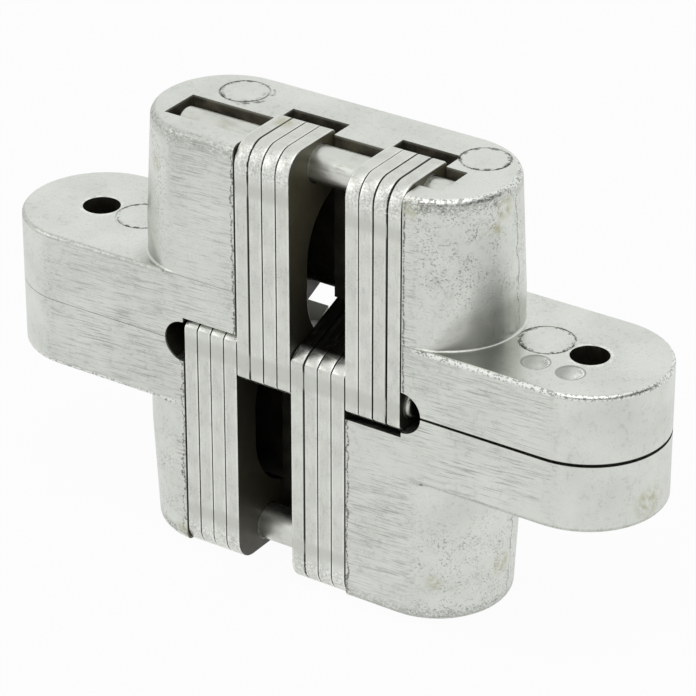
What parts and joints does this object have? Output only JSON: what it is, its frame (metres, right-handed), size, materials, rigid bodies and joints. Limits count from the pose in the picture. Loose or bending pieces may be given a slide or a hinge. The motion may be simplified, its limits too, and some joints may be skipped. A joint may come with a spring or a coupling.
{
  "type": "concealed hinge",
  "caption": "Concealed mortise hinge: die-cast leaves with screw flanges face to face, joined by crossed stacks of stamped links on pins that let the leaves swing open until they lie flat.",
  "frame": {"origin": "middle of the seam between the two closed leaves, which is also the middle of the whole hinge", "axes": "+X along the leaves, +Y from the front of the link pack to the edge towards which the hinge opens, +Z from the seam towards the upper leaf"},
  "size_m": [0.07, 0.0154, 0.0448],
  "materials": {
    "zinc_casting": "satin die-cast zinc, linished on the front face, lightly pitted",
    "link_steel": "satin plated stampings with softly rolled edges",
    "steel_pin": "smooth drawn steel"
  },
  "bodies": {
    "lower_leaf": {"lower_casting": "zinc_casting", "lower_pivot_pin": "steel_pin"},
    "upper_links": {"upper_link_1": "link_steel", "upper_link_2": "link_steel", "upper_link_3": "link_steel", "upper_link_4": "link_steel", "upper_link_5": "link_steel", "upper_link_6": "link_steel", "upper_link_7": "link_steel", "upper_link_8": "link_steel", "upper_guide_pin": "steel_pin", "centre_pin": "steel_pin"},
    "lower_links": {"lower_link_1": "link_steel", "lower_link_2": "link_steel", "lower_link_3": "link_steel", "lower_link_4": "link_steel", "lower_link_5": "link_steel", "lower_link_6": "link_steel", "lower_link_7": "link_steel", "lower_link_8": "link_steel", "lower_guide_pin": "steel_pin"},
    "upper_leaf": {"upper_casting": "zinc_casting", "upper_pivot_pin": "steel_pin"}
  },
  "joints": [
    {"name": "lower_pivot", "type": "hinge", "parent": "lower_leaf", "child": "upper_links", "pos_m": [0, 0.00505, -0.0042], "axis": [-1, 0, 0], "range_deg": [0, 118.4]},
    {"name": "centre_pivot", "type": "hinge", "parent": "upper_links", "child": "lower_links", "pos_m": [0, -0.00545, 0], "axis": [1, 0, 0], "range_deg": [0, 56.9]},
    {"name": "upper_pivot", "type": "hinge", "parent": "lower_links", "child": "upper_leaf", "pos_m": [0, 0.00505, 0.0042], "axis": [-1, 0, 0], "range_deg": [0, 118.5]}
  ],
  "couplings": [
    {"joint": "centre_pivot", "follows": "lower_pivot", "ratio": 0.48},
    {"joint": "upper_pivot", "follows": "lower_pivot", "ratio": 1}
  ]
}
